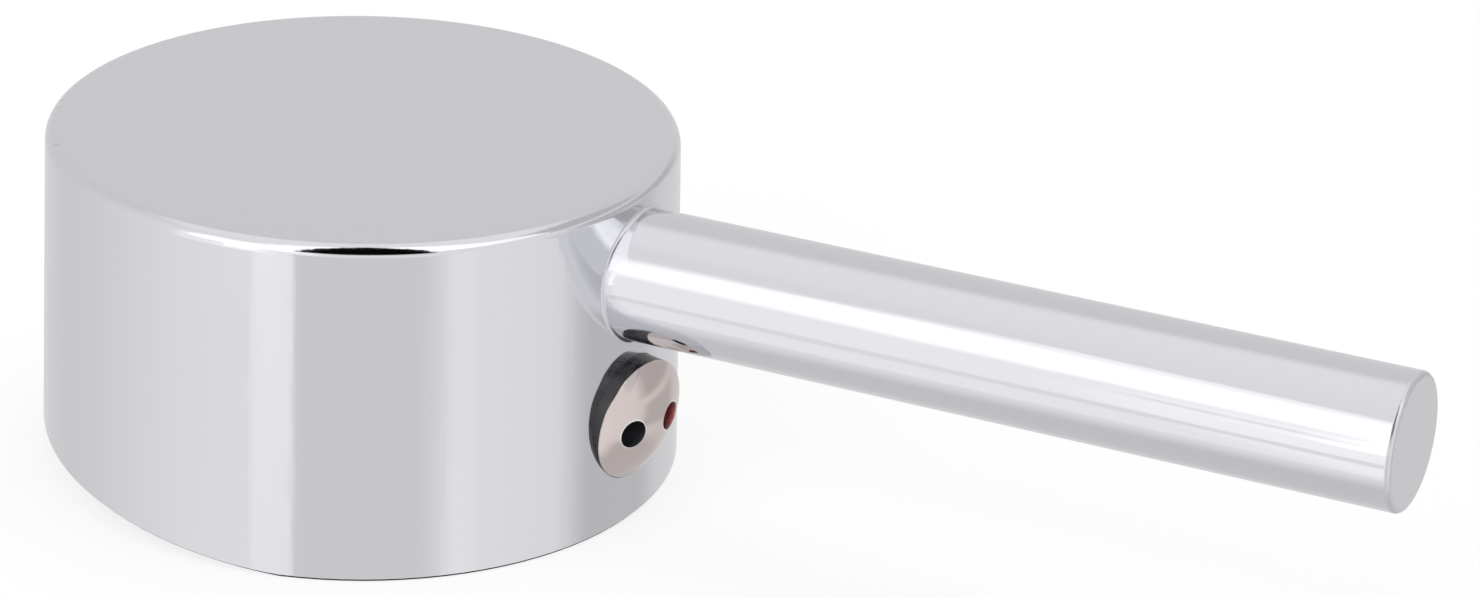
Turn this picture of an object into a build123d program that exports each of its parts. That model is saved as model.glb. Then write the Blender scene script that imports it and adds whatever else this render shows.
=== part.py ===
from build123d import *
import os
from math import asin, cos, degrees, radians, tan

# Replacement handle for a single-lever tap, in millimetres and degrees.
# One plated casting is the round cap with its lever. A grub screw clamps it on the square cartridge stem,
# and a push-in index plug with a cold and a hot dot closes the screw's hole.
# The cap's axis is Z, the front of its rim stands on Z = 0 and the lever points along +X.

os.makedirs("parts", exist_ok=True)

# Cap, a drafted cup that is open below
cap_dia = 49.0
cap_height = 26.3
cap_draft = 1.4
cap_wall = 2.3
cap_roof = 2.6
cap_edge_fillet = 1.0
cap_inner_chamfer = 1.6
rim_edge_chamfer = 0.3
mouth_land = 9.0

# Rear of the rim, cut back so that the handle can tip when the lever is lifted
relief_start = 7.3
relief_angle = 5.1

# Lever, a round bar that leaves the cap's wall just below its top and rises a little
lever_dia = 10.0
lever_reach = 59.5
lever_top_gap = 1.7
lever_rise = 1.7
lever_end_fillet = 0.4
lever_root_fillet = 0.25

# Socket for the cartridge stem, in a boss that hangs from the roof and is held by ribs
stem_width = 8.0
stem_clearance = 0.1
socket_depth = 15.0
socket_corner = 0.6
socket_lead_in = 0.5
boss_lip = 0.3
boss_wall = 2.7
boss_corner = 1.8
rib_thickness = 1.8
rib_depth = 9.4

# Axis of the screw and the plug: under the lever, a little to its cold side, falling outwards
index_height = 8.5
index_turn = -2.7
index_drop = 6.0

# Grub screw with a hexagon socket and a cup point
screw_dia = 4.9
screw_length = 10.0
screw_setback = 0.2
screw_end_chamfer = 0.5
screw_cup_dia = 2.6
screw_cup_depth = 0.8
hex_width = 2.5
hex_depth = 3.0
thread_clearance = 0.05

# Index plug: a round head with a slanted domed face, and a stem in the outer end of the screw's hole
plug_dia = 9.5
plug_fit = 0.03
plug_seat_depth = 2.4
plug_seat_wall = 1.6
plug_proud = 0.7
plug_slant = 7.0
plug_dome = 1.5
plug_edge_fillet = 0.1
plug_stem_length = 3.0
plug_stem_clearance = 0.1

# Dots, domed beads that are set square into the plug's face
dot_dia = 2.2
dot_spacing = 4.4
dot_depth = 0.8
dot_bulge = 0.2
dot_fit = 0.02

# Cap sizes that follow
cap_r = cap_dia / 2
cap_top_r = cap_r - cap_height * tan(radians(cap_draft))
mouth_r = cap_r - cap_wall
cavity_top = cap_height - cap_roof
cavity_top_r = mouth_r - (cavity_top - mouth_land) * tan(radians(cap_draft))
relief_rise = (cap_dia + relief_start) * tan(radians(relief_angle))

# Lever sizes that follow: it is drawn from the cap's axis, inside the cap, out to its tip
lever_height = cap_height - lever_top_gap - lever_dia / 2
lever_dir = Vector(1, 0, 0).rotate(Axis.Y, -lever_rise)
lever_root_run = cap_r / cos(radians(lever_rise))
lever_start = Vector(cap_r, 0, lever_height) - lever_dir * lever_root_run
lever_plane = Plane(origin=lever_start, x_dir=(0, 1, 0), z_dir=lever_dir)

# Socket sizes that follow
socket_width = stem_width + 2 * stem_clearance
boss_width = socket_width + 2 * boss_wall
rib_bottom = cavity_top - rib_depth

# Index axis, with its plane where the axis leaves the wall
tapped_r = screw_dia / 2 + thread_clearance
plug_r = plug_dia / 2
plug_seat_r = plug_r + plug_fit
screw_boss_r = plug_seat_r + plug_seat_wall
index_wall_r = cap_r - index_height * tan(radians(cap_draft))
index_out = Vector(1, 0, 0).rotate(Axis.Y, index_drop).rotate(Axis.Z, index_turn)
index_across = Vector(0, 1, 0).rotate(Axis.Z, index_turn)
index_mouth = Vector(index_wall_r, 0, index_height).rotate(Axis.Z, index_turn)
index_plane = Plane(origin=index_mouth, x_dir=index_across, z_dir=index_out)
socket_wall_run = (index_mouth.X - socket_width / 2) / index_out.X
cap_axis_run = index_mouth.X / index_out.X

# The stem boss ends a lip below the underside of the screw boss, where the two meet
boss_face_run = (index_mouth.X - boss_width / 2) / index_out.X
screw_boss_low = index_height - index_out.Z * boss_face_run - screw_boss_r / cos(radians(index_drop))
boss_bottom = screw_boss_low - boss_lip

# Plug face: a dome on a circle that is slanted towards the cold side
face_plane = Plane(
    origin=index_mouth + index_out * plug_proud,
    x_dir=index_across.rotate(Axis.Z, -plug_slant),
    z_dir=index_out.rotate(Axis.Z, -plug_slant),
)
dome_r = (plug_r**2 + plug_dome**2) / (2 * plug_dome)
dome_centre = face_plane.origin - face_plane.z_dir * (dome_r - plug_dome)
dot_r = dot_dia / 2
bead_r = dot_r - dot_fit
bead_dome_r = (bead_r**2 + dot_bulge**2) / (2 * dot_bulge)


def dot_plane(side):
    """Plane on the dome where a dot sits: side -1 is the cold dot, +1 is the hot one."""
    lean = degrees(asin(dot_spacing / 2 / dome_r)) * side
    outward = face_plane.z_dir.rotate(Axis((0, 0, 0), face_plane.y_dir), lean)
    across = face_plane.x_dir.rotate(Axis((0, 0, 0), face_plane.y_dir), lean)
    return Plane(origin=dome_centre + outward * dome_r, x_dir=across, z_dir=outward)


# Hollow of the cap, with slots that leave the stem boss, the screw boss and the ribs standing
with BuildPart() as hollow:
    with BuildSketch(Plane.XZ) as hollow_profile:
        with BuildLine():
            Polyline(
                (0, -cap_roof),
                (-mouth_r, -cap_roof),
                (-mouth_r, mouth_land),
                (-cavity_top_r, cavity_top),
                (0, cavity_top),
                close=True,
            )
        make_face()
        roof_corner = hollow_profile.vertices().group_by(Axis.Y)[-1].sort_by(Axis.X)[0]
        chamfer(roof_corner, cap_inner_chamfer)
    revolve(axis=Axis.Z)
    with BuildSketch(Plane.XY.offset(boss_bottom)):
        RectangleRounded(boss_width, boss_width, boss_corner)
    extrude(amount=cap_height, mode=Mode.SUBTRACT)
    with BuildSketch(index_plane):
        Circle(screw_boss_r)
        Rectangle(2 * screw_boss_r, cap_height, align=(Align.CENTER, Align.MIN))
    extrude(amount=-socket_wall_run, mode=Mode.SUBTRACT)
    with BuildSketch(Plane.XY.offset(rib_bottom)):
        with PolarLocations(cap_r / 2, 3, start_angle=90, angular_range=270):
            Rectangle(cap_r, rib_thickness)
    extrude(amount=cap_height, mode=Mode.SUBTRACT)

# Handle body: cap and lever in one casting
with BuildPart() as handle_body:
    with BuildSketch(Plane.XZ):
        with BuildLine():
            Polyline(
                (0, 0),
                (-cap_r, 0),
                (-cap_top_r, cap_height),
                (0, cap_height),
                close=True,
            )
        make_face()
    revolve(axis=Axis.Z)
    fillet(handle_body.edges().group_by(Axis.Z)[-1], cap_edge_fillet)

    with BuildSketch(lever_plane):
        Circle(lever_dia / 2)
    extrude(amount=lever_root_run + lever_reach)
    fillet(handle_body.edges(Select.NEW), lever_root_fillet)
    fillet(handle_body.edges().sort_by(Axis.X)[-1], lever_end_fillet)

    with BuildSketch(Plane.XZ):
        with BuildLine():
            Polyline(
                (relief_start, 0),
                (-cap_dia, 0),
                (-cap_dia, relief_rise),
                close=True,
            )
        make_face()
    extrude(amount=cap_dia, both=True, mode=Mode.SUBTRACT)
    rim_faces = handle_body.faces().filter_by(GeomType.PLANE).sort_by(Axis.Z)[:2]
    chamfer(rim_faces.edges().filter_by(GeomType.LINE, reverse=True), rim_edge_chamfer)

    add(hollow.part, mode=Mode.SUBTRACT)

    with BuildSketch():
        RectangleRounded(socket_width, socket_width, socket_corner)
    extrude(amount=boss_bottom + socket_depth, mode=Mode.SUBTRACT)
    chamfer(handle_body.edges(Select.NEW).group_by(Axis.Z)[0], socket_lead_in)

    with Locations(index_plane):
        CounterBoreHole(tapped_r, plug_seat_r, plug_seat_depth, cap_axis_run)

handle_body.part.label = "handle_body"
export_step(handle_body.part, "parts/handle_body.step")

# Grub screw: its cup point stands just inside the socket's wall
screw_plane = index_plane.offset(-socket_wall_run + screw_setback)
with BuildPart() as grub_screw:
    with BuildSketch(screw_plane):
        Circle(screw_dia / 2)
    extrude(amount=screw_length)
    chamfer(grub_screw.edges().filter_by(GeomType.CIRCLE), screw_end_chamfer)
    with BuildSketch(screw_plane.offset(screw_length)):
        RegularPolygon(hex_width / 2, 6, major_radius=False)
    extrude(amount=-hex_depth, mode=Mode.SUBTRACT)
    with BuildSketch(screw_plane):
        Circle(screw_cup_dia / 2)
    extrude(amount=screw_cup_depth, taper=45, mode=Mode.SUBTRACT)

grub_screw.part.label = "grub_screw"
export_step(grub_screw.part, "parts/grub_screw.step")

# Index plug: seated in the counterbore, its head cut to the dome
with BuildPart() as index_plug:
    with BuildSketch(index_plane.offset(-plug_seat_depth)):
        Circle(plug_r)
    extrude(amount=plug_seat_depth + plug_proud + 2 * plug_dome)
    with Locations(dome_centre):
        Sphere(dome_r, rotation=(0, 0, 180), mode=Mode.INTERSECT)
    fillet(index_plug.faces().filter_by(GeomType.SPHERE).edges(), plug_edge_fillet)
    with BuildSketch(index_plane.offset(-plug_seat_depth)):
        Circle(tapped_r - plug_stem_clearance)
    extrude(amount=-plug_stem_length)
    with BuildSketch(dot_plane(-1), dot_plane(1)):
        Circle(dot_r)
    extrude(amount=-dot_depth, mode=Mode.SUBTRACT)

index_plug.part.label = "index_plug"
export_step(index_plug.part, "parts/index_plug.step")

# Dots: a bead on the cold side and one on the hot side, each turned from its half section
for dot_name, side in (("cold_dot", -1), ("hot_dot", 1)):
    seat = dot_plane(side)
    with BuildPart() as dot:
        with BuildSketch(Plane(origin=seat.origin, x_dir=seat.x_dir, z_dir=-seat.y_dir)):
            with BuildLine():
                Polyline((0, dot_bulge), (0, -dot_depth), (bead_r, -dot_depth), (bead_r, 0))
                RadiusArc((bead_r, 0), (0, dot_bulge), -bead_dome_r)
            make_face()
        revolve(axis=Axis(seat.origin, seat.z_dir))
    dot.part.label = dot_name
    export_step(dot.part, f"parts/{dot_name}.step")
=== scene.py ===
# %% [markdown]
# # A chrome tap handle
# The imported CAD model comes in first, as a frame that never moves. Everything below either gives
# its parts a finish, adds a piece that the solids leave plain, or lights and looks at it.
# All lengths are in metres, in the frame of the CAD: the cap's axis is Z and the lever points along +X.

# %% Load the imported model
import math

import bpy
from mathutils import Matrix, Vector


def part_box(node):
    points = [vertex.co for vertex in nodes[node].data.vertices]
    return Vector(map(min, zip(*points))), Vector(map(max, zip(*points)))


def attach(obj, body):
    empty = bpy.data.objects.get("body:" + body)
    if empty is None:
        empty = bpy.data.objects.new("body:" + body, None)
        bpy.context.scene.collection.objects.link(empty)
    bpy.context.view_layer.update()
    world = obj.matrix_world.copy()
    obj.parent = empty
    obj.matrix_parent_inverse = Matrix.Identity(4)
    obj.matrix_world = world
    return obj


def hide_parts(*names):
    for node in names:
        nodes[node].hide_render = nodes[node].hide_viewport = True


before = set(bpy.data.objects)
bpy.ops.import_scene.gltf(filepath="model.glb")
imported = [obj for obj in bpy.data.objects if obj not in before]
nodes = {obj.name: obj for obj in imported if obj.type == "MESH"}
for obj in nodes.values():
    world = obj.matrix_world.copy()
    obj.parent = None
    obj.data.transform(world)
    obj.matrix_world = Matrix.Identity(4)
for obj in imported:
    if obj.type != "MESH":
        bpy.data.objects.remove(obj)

MM = 0.001


def in_mm(lengths, digits=2):
    """Lengths in millimetres, for printing."""
    return [round(length / MM, digits) for length in lengths]


bpy.context.view_layer.update()
print("CAD nodes:", ", ".join(sorted(nodes)))

# %% [markdown]
# ## The camera
# A long lens from the front left, well above the table, gives the photograph's flat perspective.
# The camera could be aimed with a constraint, but the picture is also turned a little in its plane,
# so its three axes are worked out as vectors and set as one matrix.

# %% Place the camera
AIM = Vector((0.03112, 0.00225, 0.01843))
CAMERA_DISTANCE = 0.32359
CAMERA_AZIMUTH = math.radians(26.34)
CAMERA_ELEVATION = math.radians(23.86)
CAMERA_ROLL = math.radians(2.73)
LENS_MM = 106.79
SENSOR_MM = 36.0
NEAREST = 0.01
FARTHEST = 30.0

back = Vector((
    math.sin(CAMERA_AZIMUTH) * math.cos(CAMERA_ELEVATION),
    -math.cos(CAMERA_AZIMUTH) * math.cos(CAMERA_ELEVATION),
    math.sin(CAMERA_ELEVATION),
))
level_right = (-back).cross(Vector((0, 0, 1))).normalized()
level_up = level_right.cross(-back)
right = level_right * math.cos(CAMERA_ROLL) + level_up * math.sin(CAMERA_ROLL)
up = level_up * math.cos(CAMERA_ROLL) - level_right * math.sin(CAMERA_ROLL)

camera = bpy.data.objects.new("camera", bpy.data.cameras.new("camera"))
camera.data.sensor_width = SENSOR_MM
camera.data.lens = LENS_MM
camera.data.clip_start = NEAREST
camera.data.clip_end = FARTHEST
camera.matrix_world = (
    Matrix.Translation(AIM + back * CAMERA_DISTANCE)
    @ Matrix((right, up, back)).transposed().to_4x4()
)
bpy.context.scene.collection.objects.link(camera)
bpy.context.scene.camera = camera
print("camera at, mm:", in_mm(camera.matrix_world.translation, 1))

# %% [markdown]
# ## Small helpers for node trees
# A material could be clicked together by hand, but then nobody can read why it looks as it does. Here
# each tree is written node by node. One helper adds a node and fills its inputs, each with a plain
# value or with a wire from another node's output, so that a tree reads from top to bottom.


# %% Helpers for nodes
def fill(tree, node, inputs):
    """Fills a node's inputs, named or numbered, each with a value or another node's output."""
    for name, value in inputs.items():
        if isinstance(value, bpy.types.NodeSocket):
            tree.links.new(value, node.inputs[name])
        else:
            node.inputs[name].default_value = value


def add(tree, kind, inputs=None, **settings):
    """A new node, with its settings and its inputs."""
    made = tree.nodes.new(kind)
    for name, value in settings.items():
        setattr(made, name, value)
    fill(tree, made, inputs or {})
    return made


def calc(tree, operation, *values):
    """A Math node's output."""
    return add(tree, "ShaderNodeMath", dict(enumerate(values)), operation=operation).outputs[0]


def vector_calc(tree, operation, *values, **named):
    """A Vector Math node's output: a number for a length or a distance, otherwise a vector."""
    made = add(tree, "ShaderNodeVectorMath", {**dict(enumerate(values)), **named}, operation=operation)
    return made.outputs["Value" if operation in ("LENGTH", "DISTANCE") else "Vector"]


def ramp(tree, value, start, end, low=0.0, high=1.0):
    """A soft step from low at start to high at end."""
    return add(tree, "ShaderNodeMapRange", {
        "Value": value, "From Min": start, "From Max": end, "To Min": low, "To Max": high,
    }, interpolation_type="SMOOTHSTEP").outputs[0]


def noise(tree, place, scale, detail, roughness=0.5, distortion=0.0):
    """Cloudy noise between 0 and 1. Its scale is in clouds per metre."""
    return add(tree, "ShaderNodeTexNoise", {
        "Vector": place, "Scale": scale, "Detail": detail, "Roughness": roughness, "Distortion": distortion,
    }).outputs[0]


print("node helpers:", ", ".join(helper.__name__ for helper in (fill, add, calc, vector_calc, ramp, noise)))

# %% [markdown]
# ## Groups: one effect for many surfaces
# An effect that several materials need is built once, as a node group with named sliders, and each
# material sets the sliders its own way. Copying the nodes into every material would work too, but a
# later change would then have to be made in each of them.


# %% Helpers for groups
def new_group(name, inputs, outputs):
    """An empty shader node group, with its input sockets and the sockets to wire its results to."""
    group = bpy.data.node_groups.new(name, "ShaderNodeTree")
    for label, value in inputs.items():
        kind = "NodeSocketVector" if value is None else "NodeSocketFloat"
        socket = group.interface.new_socket(label, in_out="INPUT", socket_type=kind)
        if value is not None:
            socket.default_value = value
    for label in outputs:
        kind = "NodeSocketVector" if label == "Normal" else "NodeSocketFloat"
        group.interface.new_socket(label, in_out="OUTPUT", socket_type=kind)
    start = group.nodes.new("NodeGroupInput")
    end = group.nodes.new("NodeGroupOutput")
    return group, start.outputs, end.inputs


def use_group(tree, group, inputs):
    """A copy of a group in a tree, with its own values."""
    made = tree.nodes.new("ShaderNodeGroup")
    made.node_tree = group
    fill(tree, made, inputs)
    return made.outputs


print("group helpers:", new_group.__name__, "and", use_group.__name__)

# %% [markdown]
# ## Polish that isn't perfect
# Zinc is ground and buffed by hand before it is plated, so its mirror is never optically flat:
# long shallow waves bend a reflection, the strokes of the wheel draw them out one way, and buffing
# leaves hairlines that only change the gloss. All of it is wanted on every bright surface here, so it
# is one group with its own sliders. "Place" sets where the waves lie, "Stroke Place" the same point
# with its stroke direction shrunk, which stretches the noise that way. The waves come out as a height
# for a Bump node, the hairlines and finger haze as a roughness.

# %% Group: buffed surface
HAIR_SCALE = (6000, 160, 160)
HAIR_TURN = (0.3, 0.9, 0.5)
HAIR_STEP = (0.62, 0.72)
HAIR_SHARE = 0.5
SMUDGES_PER_METRE = 95.0
SMUDGE_STEP = (0.5, 0.72)

buffed, enter, leave = new_group(
    "buffed_surface",
    {"Place": None, "Stroke Place": None, "Wave Size": 5 * MM, "Wave Depth": 1e-6,
     "Stroke Size": 1.5 * MM, "Stroke Depth": 0.0, "Gloss": 0.05, "Haze": 0.03},
    ("Height", "Roughness"),
)
waves_per_metre = calc(buffed, "DIVIDE", 1.0, enter["Wave Size"])
waves = noise(buffed, enter["Place"], waves_per_metre, detail=1.5, roughness=0.35)
strokes_per_metre = calc(buffed, "DIVIDE", 1.0, enter["Stroke Size"])
strokes = noise(buffed, enter["Stroke Place"], strokes_per_metre, detail=2.0)
height = calc(buffed, "ADD", calc(buffed, "MULTIPLY", waves, enter["Wave Depth"]),
              calc(buffed, "MULTIPLY", strokes, enter["Stroke Depth"]))
buffed.links.new(height, leave["Height"])

hair_place = add(buffed, "ShaderNodeMapping",
                 {"Vector": enter["Place"], "Rotation": HAIR_TURN, "Scale": HAIR_SCALE}).outputs[0]
hairs = ramp(buffed, noise(buffed, hair_place, 1.0, detail=2.0, roughness=0.6), *HAIR_STEP)
smudges = noise(buffed, enter["Place"], SMUDGES_PER_METRE, detail=3.0, roughness=0.6, distortion=0.6)
haze = calc(buffed, "MULTIPLY_ADD", hairs, HAIR_SHARE, ramp(buffed, smudges, *SMUDGE_STEP))
buffed.links.new(calc(buffed, "MULTIPLY_ADD", haze, enter["Haze"], enter["Gloss"]), leave["Roughness"])
print("group", buffed.name, "puts out", [socket.name for socket in leave[:-1]])

# %% [markdown]
# ## The skin of a casting
# Inside, nobody buffs. The plating bath only reaches the hollow thinly, so it keeps the grain of the
# die: a fine pebbled surface with flow patches where the metal met. Again a height and a shade.

# %% Group: cast skin
PITS_PER_GRAIN = 0.55
PIT_STEP = (0.28, 0.08)
PIT_DEPTH = -0.45
PIT_SHADE = -0.15
PATCH_STEP = (0.3, 0.75)

cast, enter, leave = new_group(
    "cast_skin",
    {"Place": None, "Grain Size": 0.35 * MM, "Grain Depth": 12e-6, "Patch Size": 6 * MM},
    ("Height", "Shade"),
)
grain_scale = calc(cast, "DIVIDE", 1.0, enter["Grain Size"])
grain = noise(cast, enter["Place"], grain_scale, detail=3.0, roughness=0.55)
pits = add(cast, "ShaderNodeTexVoronoi",
           {"Vector": enter["Place"], "Scale": calc(cast, "MULTIPLY", grain_scale, PITS_PER_GRAIN)})
pitted = ramp(cast, pits.outputs["Distance"], *PIT_STEP)
relief = calc(cast, "MULTIPLY_ADD", pitted, PIT_DEPTH, grain)
cast.links.new(calc(cast, "MULTIPLY", relief, enter["Grain Depth"]), leave["Height"])

patch_scale = calc(cast, "DIVIDE", 1.0, enter["Patch Size"])
patches = noise(cast, enter["Place"], patch_scale, detail=4.0, roughness=0.6, distortion=1.2)
shade = calc(cast, "MULTIPLY_ADD", pitted, PIT_SHADE, ramp(cast, patches, *PATCH_STEP))
cast.links.new(shade, leave["Shade"])
print("group", cast.name, "puts out", [socket.name for socket in leave[:-1]])

# %% [markdown]
# ## A turned surface that reflects smoothly
# A CAD model's cylinders and roundings arrive as flat strips, and the directions at their corners are
# averaged, so a mirror shows wedges and steps. The mesh could be cut finer, but the cap and the lever
# are both turned shapes: a drafted side, a rounded edge and a flat end. Their true direction can be
# worked out instead. First a point's place is measured from the ring on which the rounded edge's
# centre runs: how far it lies beyond that ring, and how far above it.

# %% Group: turned skin, where a point lies
turned_skin, enter, leave = new_group(
    "turned_skin",
    {"Place": None, "Radius": 10 * MM, "Length": 10 * MM, "Edge Radius": 1 * MM, "Draft": 0.0},
    ("Normal", "Off Skin", "Skin", "Edge"),
)
tree = turned_skin
axes = add(tree, "ShaderNodeSeparateXYZ", {0: enter["Place"]}).outputs
flat = add(tree, "ShaderNodeCombineXYZ", {0: axes[0], 1: axes[1]}).outputs[0]
from_axis = vector_calc(tree, "LENGTH", flat)
outwards = vector_calc(tree, "NORMALIZE", flat)

ring_height = calc(tree, "SUBTRACT", enter["Length"], enter["Edge Radius"])
drafted = calc(tree, "MULTIPLY", ring_height, calc(tree, "TANGENT", enter["Draft"]))
edge_run = calc(tree, "DIVIDE", enter["Edge Radius"], calc(tree, "COSINE", enter["Draft"]))
ring_radius = calc(tree, "SUBTRACT", enter["Radius"], calc(tree, "ADD", drafted, edge_run))
beyond = calc(tree, "SUBTRACT", from_axis, ring_radius)
above = calc(tree, "SUBTRACT", axes[2], ring_height)
print("group", tree.name, "measures from", len(enter[:-1]), "inputs")

# %% [markdown]
# ## Which way the turned skin faces
# Seen from that ring, every point of the skin has one angle. Held between the side's own direction and
# straight up, it is the true direction on the side, on the edge and on the end alike. The distance
# along it says how far a point is off the skin, which tells the skin from everything that is cut into
# it or stands on it.

# %% Group: turned skin, which way it faces
QUARTER_TURN = math.pi / 2
SKIN_INSIDE = 0.08 * MM
SKIN_OUTSIDE = 0.004 * MM
NEARLY_UP = 0.01

raised = calc(tree, "MAXIMUM", calc(tree, "ARCTAN2", above, beyond), enter["Draft"])
raised = calc(tree, "MINIMUM", raised, QUARTER_TURN)
lying, standing = calc(tree, "COSINE", raised), calc(tree, "SINE", raised)
sideways = vector_calc(tree, "SCALE", outwards, Scale=lying)
upwards = add(tree, "ShaderNodeCombineXYZ", {2: standing}).outputs[0]
tree.links.new(vector_calc(tree, "ADD", sideways, upwards), leave["Normal"])

reach = calc(tree, "ADD", calc(tree, "MULTIPLY", beyond, lying), calc(tree, "MULTIPLY", above, standing))
off_skin = calc(tree, "SUBTRACT", reach, enter["Edge Radius"])
tree.links.new(off_skin, leave["Off Skin"])

on_skin = calc(tree, "MULTIPLY", calc(tree, "GREATER_THAN", off_skin, -SKIN_INSIDE),
               calc(tree, "LESS_THAN", off_skin, SKIN_OUTSIDE))
on_skin = calc(tree, "MULTIPLY", on_skin, calc(tree, "GREATER_THAN", axes[2], 0.0))
tree.links.new(on_skin, leave["Skin"])
rounded = calc(tree, "MULTIPLY", calc(tree, "GREATER_THAN", lying, NEARLY_UP),
               calc(tree, "GREATER_THAN", above, 0.0))
tree.links.new(calc(tree, "MULTIPLY", rounded, on_skin), leave["Edge"])
print("group", tree.name, "puts out", [socket.name for socket in leave[:-1]])

# %% [markdown]
# ## Helpers for a finish
# Every finish starts from the piece's own coordinates, so that it stays on the piece wherever the
# piece goes, and ends in one shader. In between, most of them blend two finishes by a mask.


# %% Helpers for materials
def blend_value(tree, factor, a, b):
    """A number between a and b."""
    return add(tree, "ShaderNodeMix", {0: factor, 2: a, 3: b}, data_type="FLOAT").outputs[0]


def blend_vector(tree, factor, a, b):
    """A direction between a and b."""
    return add(tree, "ShaderNodeMix", {0: factor, 4: a, 5: b}, data_type="VECTOR").outputs[1]


def blend_colour(tree, factor, a, b):
    """A colour between a and b."""
    colours = {6: a if isinstance(a, bpy.types.NodeSocket) else (*a, 1.0)}
    colours[7] = b if isinstance(b, bpy.types.NodeSocket) else (*b, 1.0)
    return add(tree, "ShaderNodeMix", {0: factor, **colours}, data_type="RGBA").outputs[2]


def bumped(tree, height, **facing):
    """A surface's direction, bent by a height in metres."""
    return add(tree, "ShaderNodeBump", {
        "Strength": 1.0, "Distance": 1.0, "Height": height, **facing,
    }).outputs[0]


def new_material(name):
    """An empty material, its tree, and the piece's own coordinates."""
    material = bpy.data.materials.new(name)
    material.use_nodes = True
    material.node_tree.nodes.clear()
    place = add(material.node_tree, "ShaderNodeTexCoord").outputs["Object"]
    return material, material.node_tree, place


def finish_with(tree, shader):
    """Wires a shader to the material's output."""
    output = add(tree, "ShaderNodeOutputMaterial")
    tree.links.new(shader.outputs[0], output.inputs["Surface"])


def dress(material, name, slot):
    """Gives a CAD node its finish."""
    for held in nodes[name].material_slots:
        held.material = material
    print(name, "wears", material.name)


print("every finish ends with", finish_with.__name__, "and", dress.__name__)

# %% [markdown]
# ## Chrome plate over zinc: where each finish lies
# One casting carries three finishes: the buffed outside, the satin rim that slides over the cartridge,
# and the cast hollow. On the real part the tool's reach decides which is where, so a mask for each is
# measured from the axis and from the rim. Each mask is a soft step between two lengths. The rear of
# the rim is cut back at a slope, and its mask follows the slope.

# %% Material: plated casting, its masks
RELIEF_START = 7.3 * MM
RELIEF_SLOPE = math.tan(math.radians(5.1))
HOLLOW_STEP = (23.1 * MM, 22.7 * MM)
ROOF_STEP = (24.9 * MM, 24.5 * MM)
RIM_STEP = (0.10 * MM, 0.03 * MM)
RIM_OUTSIDE_STEP = (25.0 * MM, 24.8 * MM)

plated, tree, place = new_material("plated_casting")
axes = add(tree, "ShaderNodeSeparateXYZ", {0: place}).outputs
flat = add(tree, "ShaderNodeCombineXYZ", {0: axes[0], 1: axes[1]}).outputs[0]
from_axis = vector_calc(tree, "LENGTH", flat)
inside = calc(tree, "MULTIPLY", ramp(tree, from_axis, *HOLLOW_STEP), ramp(tree, axes[2], *ROOF_STEP))

relief_floor = calc(tree, "MULTIPLY", calc(tree, "SUBTRACT", RELIEF_START, axes[0]), RELIEF_SLOPE)
over_rim = calc(tree, "SUBTRACT", axes[2], calc(tree, "MAXIMUM", 0.0, relief_floor))
rim = calc(tree, "MULTIPLY", ramp(tree, over_rim, *RIM_STEP), ramp(tree, from_axis, *RIM_OUTSIDE_STEP))
print("cast skin starts inside a radius of, mm:", in_mm(HOLLOW_STEP))

# %% [markdown]
# ## Chrome plate over zinc: its directions
# The cap stands on its own axis. The lever leans back from the horizon, so a point is first turned into
# the lever's axis, measured there, and the direction that comes out is turned back. Where a point lies
# on neither skin, as in the root's fillet and the hollow, the mesh's own direction holds.

# %% Material: plated casting, its directions
CAP_RADIUS = 24.5 * MM
CAP_HEIGHT = 26.3 * MM
CAP_EDGE = 1.0 * MM
CAP_DRAFT = math.radians(1.4)
LEVER_START = Vector((24.5, 0.0, 19.6)) * MM
LEVER_RADIUS = 5.0 * MM
LEVER_REACH = 59.5 * MM
LEVER_EDGE = 0.4 * MM
LEVER_RISE = math.radians(1.7)

lever_turn = QUARTER_TURN - LEVER_RISE
from_root = vector_calc(tree, "SUBTRACT", place, LEVER_START)
along = add(tree, "ShaderNodeVectorRotate", {0: from_root, "Angle": -lever_turn},
            rotation_type="Y_AXIS").outputs[0]
cap_skin = use_group(tree, turned_skin, {
    "Place": place, "Radius": CAP_RADIUS, "Length": CAP_HEIGHT, "Edge Radius": CAP_EDGE, "Draft": CAP_DRAFT,
})
lever_skin = use_group(tree, turned_skin, {
    "Place": along, "Radius": LEVER_RADIUS, "Length": LEVER_REACH, "Edge Radius": LEVER_EDGE,
})
lever_normal = add(tree, "ShaderNodeVectorRotate", {0: lever_skin["Normal"], "Angle": lever_turn},
                   rotation_type="Y_AXIS").outputs[0]
exact = blend_vector(tree, lever_skin["Skin"], cap_skin["Normal"], lever_normal)
exact = add(tree, "ShaderNodeVectorTransform", {0: exact}, vector_type="NORMAL",
            convert_from="OBJECT", convert_to="WORLD").outputs[0]
own = add(tree, "ShaderNodeNewGeometry").outputs["Normal"]
on_skin = calc(tree, "MAXIMUM", cap_skin["Skin"], lever_skin["Skin"])
direction = blend_vector(tree, on_skin, own, exact)
print("the lever's axis is", round(math.degrees(lever_turn), 1), "degrees from the cap's")

# %% [markdown]
# ## Chrome plate over zinc: colour and polish
# Chrome is a slightly dim and slightly blue mirror: here it returns about three quarters of the light.
# That alone makes a white room look the soft grey of a chrome tap, so nothing is added to it.
# The wheel runs along the lever and up the cap, so the strokes are drawn out that way. In the corner at
# the lever's root and on the lever's end edge the wheel can't do its work, and the polish is duller.

# %% Material: plated casting, its shader
CHROME = (0.75, 0.752, 0.785)
HOLLOW_BRIGHT = (0.47, 0.465, 0.455)
HOLLOW_DULL = (0.33, 0.325, 0.315)
STROKE_SHRINK = (1.0, 1.0, 0.06)
CORNER_STEP = (0.34 * MM, 0.24 * MM)
RIM_ROUGHNESS = 0.24
CORNER_ROUGHNESS = 0.30
CAST_ROUGHNESS = 0.42

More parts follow.
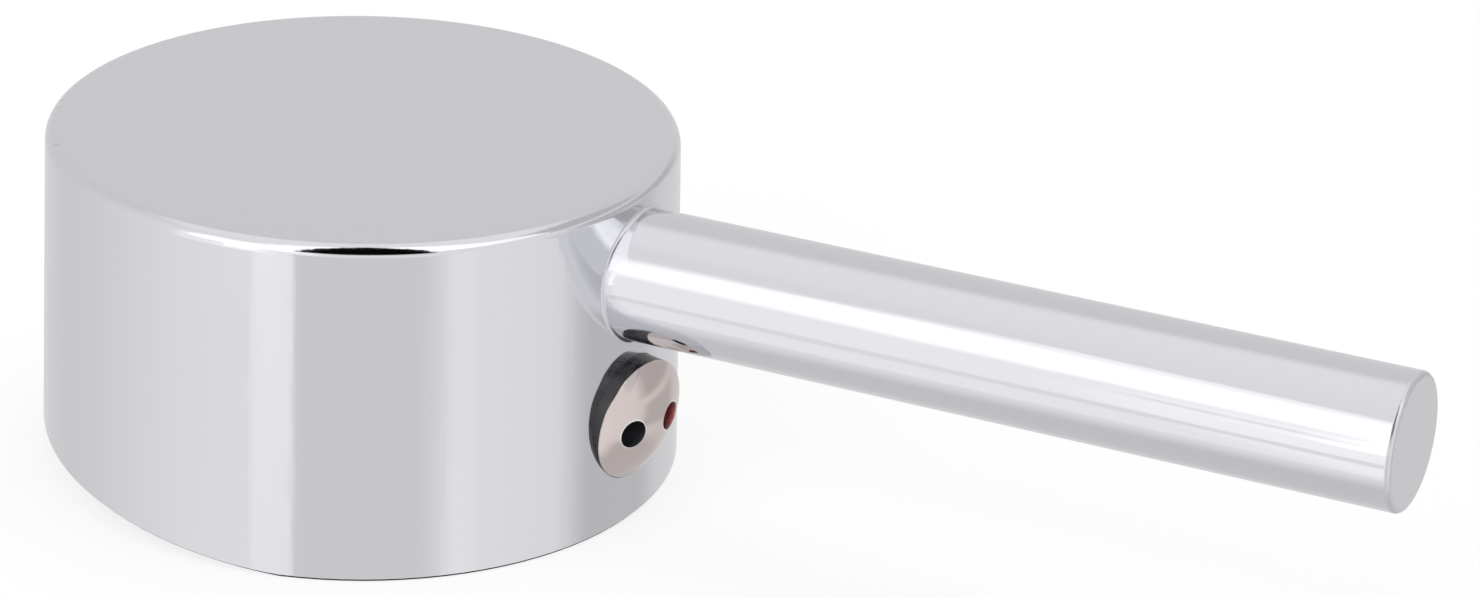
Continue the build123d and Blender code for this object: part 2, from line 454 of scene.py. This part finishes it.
stroke = vector_calc(tree, "MULTIPLY", blend_vector(tree, lever_skin["Skin"], place, along), STROKE_SHRINK)
polish = use_group(tree, buffed, {
    "Place": place, "Stroke Place": stroke, "Wave Size": 7 * MM, "Wave Depth": 16e-6,
    "Stroke Size": 1.1 * MM, "Stroke Depth": 9e-6, "Gloss": 0.075, "Haze": 0.04,
})
skin = use_group(tree, cast, {"Place": place})
height = blend_value(tree, inside, polish["Height"], skin["Height"])

corner = calc(tree, "MULTIPLY", ramp(tree, lever_skin["Off Skin"], *CORNER_STEP),
              ramp(tree, cap_skin["Off Skin"], *CORNER_STEP))
dull = calc(tree, "MAXIMUM", corner, lever_skin["Edge"])
roughness = blend_value(tree, rim, polish["Roughness"], RIM_ROUGHNESS)
roughness = blend_value(tree, dull, roughness, CORNER_ROUGHNESS)
hollow_colour = blend_colour(tree, skin["Shade"], HOLLOW_DULL, HOLLOW_BRIGHT)
shader = add(tree, "ShaderNodeBsdfPrincipled", {
    "Base Color": blend_colour(tree, inside, CHROME, hollow_colour),
    "Metallic": 1.0,
    "Roughness": blend_value(tree, inside, roughness, CAST_ROUGHNESS),
    "Normal": bumped(tree, height, Normal=direction),
})
finish_with(tree, shader)
dress(plated, "handle_body", "plated_casting")

# %% [markdown]
# ## The index plug's place
# The plug and the screw behind it share one axis, which leaves the wall under the lever and falls
# outwards. The plug's face is a dome on a circle that is slanted a little to the cold side, so the
# dome's centre is found by going in from that circle.


# %% Measure the plug's dome
def middle_of(name):
    """The middle of a CAD node's box."""
    low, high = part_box(name)
    return (low + high) / 2


INDEX_MOUTH = Vector((24.26, -1.144, 8.5)) * MM
INDEX_TURN = math.radians(-2.7)
INDEX_DROP = math.radians(6.0)
PLUG_PROUD = 0.7 * MM
PLUG_SLANT = math.radians(-7.0)
DOME_RISE = 1.5 * MM
DOME_RADIUS = 8.271 * MM

index_out = Vector((
    math.cos(INDEX_DROP) * math.cos(INDEX_TURN),
    math.cos(INDEX_DROP) * math.sin(INDEX_TURN),
    -math.sin(INDEX_DROP),
))
face_out = Matrix.Rotation(PLUG_SLANT, 3, "Z") @ index_out
dome_centre = INDEX_MOUTH + index_out * PLUG_PROUD - face_out * (DOME_RADIUS - DOME_RISE)
cold_middle, hot_middle = middle_of("cold_dot"), middle_of("hot_dot")
print("plug's dome centre, mm:", in_mm(dome_centre, 3))
print("dots' middles, mm:", in_mm(cold_middle), in_mm(hot_middle))

# %% [markdown]
# ## The index plug
# The plug is a black moulding, and its domed face carries a warm, nickel-coloured mirror film.
# The film covers just what lies on the dome, so its mask measures the distance from the dome's
# centre: on the dome that distance is its radius, on the side of the plug it is less.
# The edge of each dot's seat is slightly turned up and catches the light; that thin pale ring is a painted
# highlight in the film's colour.

# %% Material: index plug
FILM = (0.70, 0.615, 0.60)
SEAT_PAINTED_HIGHLIGHT = (0.90, 0.86, 0.85)
PLUG_BLACK = (0.018, 0.018, 0.02)
PLUG_ROUGHNESS = 0.22
FILM_STEP = (DOME_RADIUS - 0.025 * MM, DOME_RADIUS - 0.012 * MM)
SEAT_HIGHLIGHT_STEP = (1.26 * MM, 1.21 * MM)

plug, tree, place = new_material("index_plug")
film = ramp(tree, vector_calc(tree, "DISTANCE", place, dome_centre), *FILM_STEP)
to_dot = calc(tree, "MINIMUM", vector_calc(tree, "DISTANCE", place, cold_middle),
              vector_calc(tree, "DISTANCE", place, hot_middle))
# A painted highlight: the film is made paler in a thin ring around each dot.
film_with_painted_ring = blend_colour(tree, ramp(tree, to_dot, *SEAT_HIGHLIGHT_STEP), FILM, SEAT_PAINTED_HIGHLIGHT)
polish = use_group(tree, buffed, {"Place": place, "Stroke Place": place, "Wave Size": 2 * MM,
                                  "Wave Depth": 1.5e-6, "Gloss": 0.07, "Haze": 0.05})
skin = use_group(tree, cast, {"Place": place, "Grain Size": 0.2 * MM, "Grain Depth": 0.8e-6,
                              "Patch Size": 2 * MM})
shader = add(tree, "ShaderNodeBsdfPrincipled", {
    "Base Color": blend_colour(tree, film, PLUG_BLACK, film_with_painted_ring),
    "Metallic": film,
    "Roughness": blend_value(tree, film, PLUG_ROUGHNESS, polish["Roughness"]),
    "Normal": bumped(tree, blend_value(tree, film, skin["Height"], polish["Height"])),
})
finish_with(tree, shader)
dress(plug, "index_plug", "plug_plastic")

# %% [markdown]
# ## The dots
# They tell a hand which way is hot and which is cold.
# Each dot is a bead of coloured resin. Resin looks deepest at its rim, where you look through more
# of it, and lighter in the middle. Glass with real depth would show that too, but costs many bounces
# of light on a bead of 2 mm. So the colour follows the distance from the bead's own centre.

# %% Material: the two beads
SWIRLS_PER_METRE = 2500.0
SWIRL_SHIFT = 0.25 * MM
SWIRL_STEP = (0.3, 0.8)
HEART_STEP = (0.45 * MM, 1.15 * MM)
RIPPLE_DEPTH = 2e-6
BEAD_ROUGHNESS = (0.05, 0.11)
RESIN_IOR = 1.45
RESIN_SHINE = 0.08


def bead_material(name, middle, heart, edge):
    """Clear coloured resin, lighter at its heart than at its edge."""
    made, tree, place = new_material(name)
    swirl = noise(tree, place, SWIRLS_PER_METRE, detail=2.0)
    depth = calc(tree, "MULTIPLY_ADD", swirl, SWIRL_SHIFT, vector_calc(tree, "DISTANCE", place, middle))
    shader = add(tree, "ShaderNodeBsdfPrincipled", {
        "Base Color": blend_colour(tree, ramp(tree, depth, *HEART_STEP), heart, edge),
        "Roughness": ramp(tree, swirl, *SWIRL_STEP, *BEAD_ROUGHNESS),
        "IOR": RESIN_IOR, "Specular IOR Level": RESIN_SHINE,
        "Normal": bumped(tree, calc(tree, "MULTIPLY", swirl, RIPPLE_DEPTH)),
    })
    finish_with(tree, shader)
    return made


cold = bead_material("dot_cold", cold_middle, (0.012, 0.011, 0.020), (0.001, 0.001, 0.003))
dress(cold, "cold_dot", "dot_cold")
hot = bead_material("dot_hot", hot_middle, (0.85, 0.075, 0.045), (0.12, 0.004, 0.005))
dress(hot, "hot_dot", "dot_hot")

# %% [markdown]
# ## The grub screw
# Behind the plug sits the screw that clamps the handle on its stem: a set screw, threaded over its
# whole length, with a hexagon socket outside and a cup point inside. Its steel is turned and then
# lightly oiled, so it is duller than the chrome and a little warmer, with stains instead of haze.

# %% Material: turned steel
STEEL_BRIGHT = (0.50, 0.49, 0.47)
STEEL_STAINED = (0.34, 0.32, 0.29)
STAINS_PER_METRE = 700.0
STAIN_STEP = (0.48, 0.70)

steel, tree, place = new_material("screw_steel")
turned = use_group(tree, buffed, {"Place": place, "Stroke Place": place, "Wave Size": 0.4 * MM,
                                  "Wave Depth": 2e-6, "Gloss": 0.24, "Haze": 0.12})
stains = noise(tree, place, STAINS_PER_METRE, detail=3.0, distortion=0.8)
stained = ramp(tree, stains, *STAIN_STEP)
shader = add(tree, "ShaderNodeBsdfPrincipled", {
    "Base Color": blend_colour(tree, stained, STEEL_BRIGHT, STEEL_STAINED),
    "Metallic": 1.0, "Roughness": turned["Roughness"], "Normal": bumped(tree, turned["Height"]),
})
finish_with(tree, shader)
dress(steel, "grub_screw", "screw_steel")

# %% [markdown]
# ## Cutting the thread with Geometry Nodes
# A thread repeats one profile along a helix, which is a rule, so a node tree can cut it. Its inputs are
# the sizes that a machinist would ask for, so the same tree could cut any other set screw. It starts
# as an empty tree with one socket for each size, one for each count and one for the steel.

# %% Geometry Nodes: sockets of the set screw
SCREW_SIZES = {
    "Radius": 2.45 * MM, "Length": 10.0 * MM, "Pitch": 0.8 * MM, "Thread Depth": 0.49 * MM,
    "Chamfer": 0.5 * MM, "Hexagon": 2.5 * MM, "Hexagon Depth": 3.0 * MM, "Cup Width": 2.6 * MM,
    "Cup Depth": 0.8 * MM,
}
SCREW_COUNTS = {"Sides": 48, "Rows Per Turn": 8}

screw_tree = bpy.data.node_groups.new("threaded_set_screw", "GeometryNodeTree")
for label, value in {**SCREW_SIZES, **SCREW_COUNTS}.items():
    kind = "NodeSocketInt" if label in SCREW_COUNTS else "NodeSocketFloat"
    screw_tree.interface.new_socket(label, in_out="INPUT", socket_type=kind).default_value = value
screw_tree.interface.new_socket("Material", in_out="INPUT", socket_type="NodeSocketMaterial")
screw_tree.interface.new_socket("Geometry", in_out="OUTPUT", socket_type="NodeSocketGeometry")
tree = screw_tree
size = tree.nodes.new("NodeGroupInput").outputs
leave = tree.nodes.new("NodeGroupOutput").inputs
print("tree", tree.name, "with inputs", [socket.name for socket in size[:-1]])

# %% [markdown]
# ## A sheet with slanting rows
# The screw starts as a flat grid: its width becomes the turn around the screw and its length the way
# along it. Each column is pushed on by its turn, so that the grid's rows climb like the thread and its
# ridges stay crisp. That takes one pitch more than the screw's length, and what would stand out at
# either end is held at the end.

# %% Geometry Nodes: the sheet
grid_length = calc(tree, "ADD", size["Length"], size["Pitch"])
turns = calc(tree, "DIVIDE", grid_length, size["Pitch"])
rows = calc(tree, "ROUND", calc(tree, "MULTIPLY", turns, size["Rows Per Turn"]))
grid = add(tree, "GeometryNodeMeshGrid", {
    "Size X": 1.0, "Size Y": 1.0,
    "Vertices X": calc(tree, "ADD", size["Sides"], 1.0), "Vertices Y": calc(tree, "ADD", rows, 1.0),
}).outputs["Mesh"]

spot = add(tree, "GeometryNodeInputPosition").outputs[0]
spot = add(tree, "ShaderNodeSeparateXYZ", {0: spot}).outputs
turn = calc(tree, "ADD", spot["X"], 0.5)
unrolled = calc(tree, "MULTIPLY", calc(tree, "ADD", spot["Y"], 0.5), grid_length)
pushed_on = calc(tree, "MULTIPLY", calc(tree, "SUBTRACT", turn, 1.0), size["Pitch"])
climb = calc(tree, "ADD", unrolled, pushed_on)
way = calc(tree, "MINIMUM", calc(tree, "MAXIMUM", climb, 0.0), size["Length"])
print("turns on the sheet:", round((SCREW_SIZES["Length"] + SCREW_SIZES["Pitch"]) / SCREW_SIZES["Pitch"], 1))

# %% [markdown]
# ## Rolling it to the thread's profile
# The radius follows the profile: a flat crest, a flank, a flat root and a flank back. Each flat takes
# an eighth of the pitch. At the two ends the screw is chamfered, so there the radius is also no more
# than the chamfer allows.

# %% Geometry Nodes: the threaded tube
CREST_END = 0.125
ROOT_START = 0.875

phase = calc(tree, "SUBTRACT", calc(tree, "DIVIDE", way, size["Pitch"]), turn)
half_row = calc(tree, "DIVIDE", 0.5, size["Rows Per Turn"])
phase = calc(tree, "WRAP", calc(tree, "ADD", phase, half_row), 0.5, -0.5)
off_crest = calc(tree, "MULTIPLY", calc(tree, "ABSOLUTE", phase), 2.0)
depth = add(tree, "ShaderNodeMapRange", {
    "Value": off_crest, "From Min": CREST_END, "From Max": ROOT_START,
    "To Min": 0.0, "To Max": size["Thread Depth"],
}).outputs[0]

end_radius = calc(tree, "SUBTRACT", size["Radius"], size["Chamfer"])
to_end = calc(tree, "MINIMUM", way, calc(tree, "SUBTRACT", size["Length"], way))
radius = calc(tree, "MINIMUM", calc(tree, "SUBTRACT", size["Radius"], depth),
              calc(tree, "ADD", end_radius, to_end))
angle = calc(tree, "MULTIPLY", turn, math.tau)
rolled = add(tree, "ShaderNodeCombineXYZ", {
    "X": calc(tree, "MULTIPLY", radius, calc(tree, "COSINE", angle)),
    "Y": calc(tree, "MULTIPLY", radius, calc(tree, "SINE", angle)),
    "Z": way,
}).outputs[0]
tube = add(tree, "GeometryNodeSetPosition", {"Geometry": grid, "Position": rolled}).outputs[0]
print("root radius, mm:", in_mm([SCREW_SIZES["Radius"] - SCREW_SIZES["Thread Depth"]]))

# %% [markdown]
# ## Closing the ends, sinking the hexagon and the cup
# A disc closes each end, the inner one turned over so that it faces outwards, and the seams are
# welded into one solid. A boolean then takes away a six-sided punch and a countersink, as the tools do
# on the real screw. Both reach past the end that they cut, so that no two faces lie on each other.


# %% Geometry Nodes: the ends
def moved_up(tree, mesh, height):
    """A mesh moved along Z."""
    offset = add(tree, "ShaderNodeCombineXYZ", {"Z": height}).outputs[0]
    return add(tree, "GeometryNodeTransform", {"Geometry": mesh, "Translation": offset}).outputs[0]


WELD = 0.002 * MM

disc = add(tree, "GeometryNodeMeshCircle", {"Vertices": size["Sides"], "Radius": end_radius},
           fill_type="NGON").outputs[0]
inner_disc = add(tree, "GeometryNodeFlipFaces", {"Mesh": disc}).outputs[0]
joined = add(tree, "GeometryNodeJoinGeometry")
for sheet in (tube, inner_disc, moved_up(tree, disc, size["Length"])):
    tree.links.new(sheet, joined.inputs[0])
blank = add(tree, "GeometryNodeMergeByDistance",
            {"Geometry": joined.outputs[0], "Distance": WELD}).outputs[0]

punch = add(tree, "GeometryNodeMeshCylinder", {
    "Vertices": 6, "Radius": calc(tree, "DIVIDE", size["Hexagon"], math.sqrt(3.0)),
    "Depth": calc(tree, "MULTIPLY", size["Hexagon Depth"], 2.0),
}).outputs["Mesh"]
cup_radius = calc(tree, "MULTIPLY", size["Cup Width"], 0.5)
countersink = add(tree, "GeometryNodeMeshCone", {
    "Vertices": size["Sides"], "Radius Bottom": calc(tree, "ADD", cup_radius, size["Chamfer"]),
    "Radius Top": calc(tree, "SUBTRACT", cup_radius, size["Cup Depth"]),
    "Depth": calc(tree, "ADD", size["Cup Depth"], size["Chamfer"]),
}).outputs["Mesh"]
below_end = calc(tree, "MULTIPLY", size["Chamfer"], -1.0)

cut = add(tree, "GeometryNodeMeshBoolean", {"Mesh 1": blank}, operation="DIFFERENCE", solver="EXACT")
tree.links.new(moved_up(tree, punch, size["Length"]), cut.inputs["Mesh 2"])
tree.links.new(moved_up(tree, countersink, below_end), cut.inputs["Mesh 2"])
real = add(tree, "GeometryNodeRealizeInstances", {"Geometry": cut.outputs["Mesh"]}).outputs[0]
worn = add(tree, "GeometryNodeSetMaterial", {"Geometry": real, "Material": size["Material"]}).outputs[0]
tree.links.new(worn, leave[0])
print("tree", tree.name, "has", len(tree.nodes), "nodes")

# %% [markdown]
# ## From the tree to a piece
# The modifier's inputs go by their sockets' identifiers. Once it has been evaluated, its result is
# taken as a plain mesh and the modifier comes off, because only a mesh can be handed on. The mesh is
# then turned into the screw's own axis, which falls outwards from the stem to the plug.

# %% Cut the screw and set it in its hole
SCREW_DEPTH_IN = 20.10 * MM

screw = bpy.data.objects.new("threaded_grub_screw", bpy.data.meshes.new("threaded_grub_screw"))
bpy.context.scene.collection.objects.link(screw)
cutter = screw.modifiers.new("thread", "NODES")
cutter.node_group = screw_tree
sockets = {item.name: item.identifier for item in screw_tree.interface.items_tree if item.in_out == "INPUT"}
for label, value in {**SCREW_SIZES, **SCREW_COUNTS, "Material": steel}.items():
    cutter[sockets[label]] = value
evaluated = screw.evaluated_get(bpy.context.evaluated_depsgraph_get())
threaded = bpy.data.meshes.new_from_object(evaluated)
threaded.materials.clear()
threaded.materials.append(steel)
threaded.polygons.foreach_set("material_index", [0] * len(threaded.polygons))
screw.modifiers.remove(cutter)

index_across = Vector((-math.sin(INDEX_TURN), math.cos(INDEX_TURN), 0.0))
screw_axes = Matrix((index_across, index_out.cross(index_across), index_out)).transposed().to_4x4()
inner_end = INDEX_MOUTH - index_out * SCREW_DEPTH_IN
threaded.transform(Matrix.Translation(inner_end) @ screw_axes)
screw.data = threaded
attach(screw, "root")
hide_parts("grub_screw")
print("screw:", len(threaded.polygons), "faces, from, mm:", in_mm(inner_end))

# %% [markdown]
# ## The studio
# Chrome has no look of its own: it shows the room. A plain white room gives it one even grey, and the
# bright and dark bands come from a few soft boxes and cards around it. They could be panels of mesh,
# but here the room is written in the world, as windows in direction: each has a middle, a width and a
# height in degrees, soft edges and a brightness. So every surface far and near sees the same room.

# %% Group: a soft window
window, enter, leave = new_group(
    "soft_window",
    {"Azimuth": 0.0, "Elevation": 0.0, "Middle": 0.0, "Half Width": 20.0, "Side Edge": 5.0,
     "Bottom": -90.0, "Top": 90.0, "Level Edge": 5.0},
    ("Mask",),
)
off = calc(window, "SUBTRACT", enter["Azimuth"], enter["Middle"])
off = calc(window, "ABSOLUTE", calc(window, "WRAP", off, 180.0, -180.0))
side = calc(window, "ADD", enter["Half Width"], enter["Side Edge"])
sill = calc(window, "SUBTRACT", enter["Bottom"], enter["Level Edge"])
lintel = calc(window, "ADD", enter["Top"], enter["Level Edge"])
between = ramp(window, off, side, enter["Half Width"])
over = ramp(window, enter["Elevation"], sill, enter["Bottom"])
under = ramp(window, enter["Elevation"], lintel, enter["Top"])
window.links.new(calc(window, "MULTIPLY", between, calc(window, "MULTIPLY", over, under)), leave["Mask"])
print("group", window.name, "with inputs", [socket.name for socket in enter[:-1]])

# %% [markdown]
# ## A list of windows
# The windows are laid over one another in the order of the table, each with its own brightness, as an
# assistant hangs cards in front of soft boxes. Azimuth 0 is where the lever points, -90 is in front of
# it, and elevation 0 is the horizon. Most windows are bright bands. The two "camera side" ones are
# dark, for the dark side of the room where the camera stands. They give the cap its grey front and
# the black line in its top edge.

# %% Table of windows
STUDIO = (
    # name, level, middle, half width, side edge, bottom, top, level edge
    ("ceiling", 0.95, 0, 180, 1, 60, 95, 14),
    ("front glow", 0.92, -60, 48, 90, -95, 60, 20),
    ("right shade", 0.60, 46, 13, 19, -27, -14, 5),
    ("right shade above", 0.58, 40, 18, 14, 28, 48, 8),
    ("underneath", 0.68, 0, 180, 1, -95, -66, 20),
    ("right floor", 0.62, 45, 45, 20, -95, -44, 10),
    ("right wall", 0.57, 52, 22, 22, -3, 12, 6),
    ("front band", 1.05, -89.5, 7, 2.5, -20, 10, 12),
    ("lower strip", 1.03, -112, 14, 6, -44, -27, 1.5),
    ("lower strip's end", 1.13, -100, 9.5, 1, -46, -26.5, 1),
    ("low strip", 1.06, -100, 22, 8, -18.5, 12, 1.5),
    ("low strip's end", 1.15, -100, 9.5, 1, -19.5, 9, 1),
    ("front box", 1.18, -100, 22, 3, 12, 46, 1.5),
    ("front box, right part", 1.18, -34, 48, 3, 34, 50, 6),
    ("box's core", 1.6, -98, 14, 20, 20, 36, 8),
    ("core, right part", 1.5, -54, 34, 24, 38, 46, 6),
    ("box's corner", 1.5, -101, 5.7, 0.5, -5, 14, 1.5),
    ("box's frame", 0.94, -108.1, 1.2, 0.4, 1, 3.5, 1),
    ("upper box", 1.4, -52, 40, 24, 42, 80, 4),
    ("camera side below", 0.755, -62, 19.5, 2.2, -60, -3, 1),
    ("camera side's fade", 0.755, -47, 7, 16, -60, -3, 1),
    ("front streak", 0.97, -22.5, 1.5, 7, -60, 0, 6),
    ("camera side above", 0.0, -57.5, 24.5, 1.6, 27, 84, 12),
)
print(len(STUDIO), "windows, the brightest at", max(row[1] for row in STUDIO))

# %% [markdown]
# ## Hanging the windows
# Only glossy rays see the windows. Matt surfaces get one even light, and the background stays white.
# The black window only counts for a first reflection, so that the lever doesn't show it a second time
# in the cap.

# %% World: the white room
WALLS = 0.737
AMBIENT = 0.55
WHITE = (1.0, 1.0, 1.0, 1.0)
FIRST_LOOK_ONLY = "camera side above"
SECOND_LOOK = 1.5

world = bpy.data.worlds.new("white_room")
bpy.context.scene.world = world
world.use_nodes = True
tree = world.node_tree
tree.nodes.clear()
ray = add(tree, "ShaderNodeTexCoord").outputs["Generated"]
ray = add(tree, "ShaderNodeSeparateXYZ", {0: ray}).outputs
azimuth = calc(tree, "DEGREES", calc(tree, "ARCTAN2", ray[1], ray[0]))
elevation = calc(tree, "DEGREES", calc(tree, "ARCSINE", ray[2]))
path = add(tree, "ShaderNodeLightPath").outputs
first_look = calc(tree, "LESS_THAN", path["Glossy Depth"], SECOND_LOOK)

level = WALLS
for title, brightness, middle, half, side_edge, bottom, top, level_edge in STUDIO:
    mask = use_group(tree, window, {
        "Azimuth": azimuth, "Elevation": elevation, "Middle": middle, "Half Width": half,
        "Side Edge": side_edge, "Bottom": bottom, "Top": top, "Level Edge": level_edge,
    })["Mask"]
    if title == FIRST_LOOK_ONLY:
        mask = calc(tree, "MULTIPLY", mask, first_look)
    level = blend_value(tree, mask, level, brightness)

matt_light, mirrored, seen = (
    add(tree, "ShaderNodeBackground", {"Color": WHITE, "Strength": strength}).outputs[0]
    for strength in (AMBIENT, level, 1.0)
)
room = add(tree, "ShaderNodeMixShader", {0: path["Is Glossy Ray"], 1: matt_light, 2: mirrored}).outputs[0]
straight = calc(tree, "MAXIMUM", path["Is Camera Ray"], path["Is Transmission Ray"])
room = add(tree, "ShaderNodeMixShader", {0: straight, 1: room, 2: seen}).outputs[0]
tree.links.new(room, add(tree, "ShaderNodeOutputWorld").inputs["Surface"])
print("world", world.name, "has", len(tree.nodes), "nodes")

# %% [markdown]
# ## The floor
# White paper under the part keeps a faint shadow, so that the handle stands on something. Most of what
# the camera sees of it is its own glow, which puts it near white without any more light on the part.
# A chrome wall would mirror the paper right down to its foot, where a real cut-out photograph shows the
# room. So the paper lets mirrored rays through, apart from a dark disc beneath the cap: a painted shadow
# that stands in for the shade under the cap and keeps the hollow dark.

# %% Floor
PAPER_SIZE = 12.0
PAPER = (0.80, 0.80, 0.80, 1.0)
PAPER_GLOW = 0.82
# A painted shadow: the dark disc under the cap, seen only in reflections.
PAINTED_SHADOW_DISC = (0.05, 0.05, 0.05, 1.0)
PAINTED_SHADOW_STEP = (24.3 * MM, 24.5 * MM)

bpy.ops.mesh.primitive_plane_add(size=PAPER_SIZE)
floor = bpy.context.active_object
floor.name = "floor"

paper, tree, place = new_material("white_paper")
path = add(tree, "ShaderNodeLightPath").outputs
matt = add(tree, "ShaderNodeBsdfDiffuse", {"Color": PAPER}).outputs[0]
glow = add(tree, "ShaderNodeEmission", {"Color": WHITE, "Strength": path["Is Camera Ray"]}).outputs[0]
lit = add(tree, "ShaderNodeMixShader", {0: PAPER_GLOW, 1: matt, 2: glow}).outputs[0]
outside_painted_shadow = ramp(tree, vector_calc(tree, "LENGTH", place), *PAINTED_SHADOW_STEP)
dark = add(tree, "ShaderNodeBsdfDiffuse", {"Color": PAINTED_SHADOW_DISC}).outputs[0]
clear = add(tree, "ShaderNodeBsdfTransparent").outputs[0]
reflected = add(tree, "ShaderNodeMixShader", {0: outside_painted_shadow, 1: dark, 2: clear}).outputs[0]
finish_with(tree, add(tree, "ShaderNodeMixShader", {0: path["Is Glossy Ray"], 1: lit, 2: reflected}))
floor.data.materials.append(paper)
print("floor is", PAPER_SIZE, "m wide and wears", paper.name)

# %% [markdown]
# ## The lamps
# Two large area lamps, one in front and one overhead, shape what isn't mirror bright: the rim, the cast
# hollow, the plug's black side and the beads. Large lamps give soft shadows. They are hidden from
# glossy rays, because the windows of the room already say what the chrome reflects.

# %% Lamps
LAMPS = (
    # name, azimuth, elevation, distance, width, watts
    ("front_box", -100, 40, 0.9, 0.7, 5.0),
    ("top_box", 60, 75, 1.0, 0.9, 6.0),
)

for name, azimuth, elevation, distance, width, watts in LAMPS:
    lamp = bpy.data.objects.new(name, bpy.data.lights.new(name, "AREA"))
    lamp.data.size = width
    lamp.data.energy = watts
    a, e = math.radians(azimuth), math.radians(elevation)
    towards = Vector((math.cos(a) * math.cos(e), math.sin(a) * math.cos(e), math.sin(e)))
    lamp.location = AIM + towards * distance
    lamp.rotation_mode = "QUATERNION"
    lamp.rotation_quaternion = towards.to_track_quat("Z", "Y")
    lamp.visible_glossy = False
    bpy.context.scene.collection.objects.link(lamp)
    print(name, "at, mm:", in_mm(lamp.location, 0))

# %% [markdown]
# The Standard view shows colours as they are written. Looks never change the size of a part.

# %% View
bpy.context.scene.view_settings.view_transform = "Standard"
bpy.context.view_layer.update()
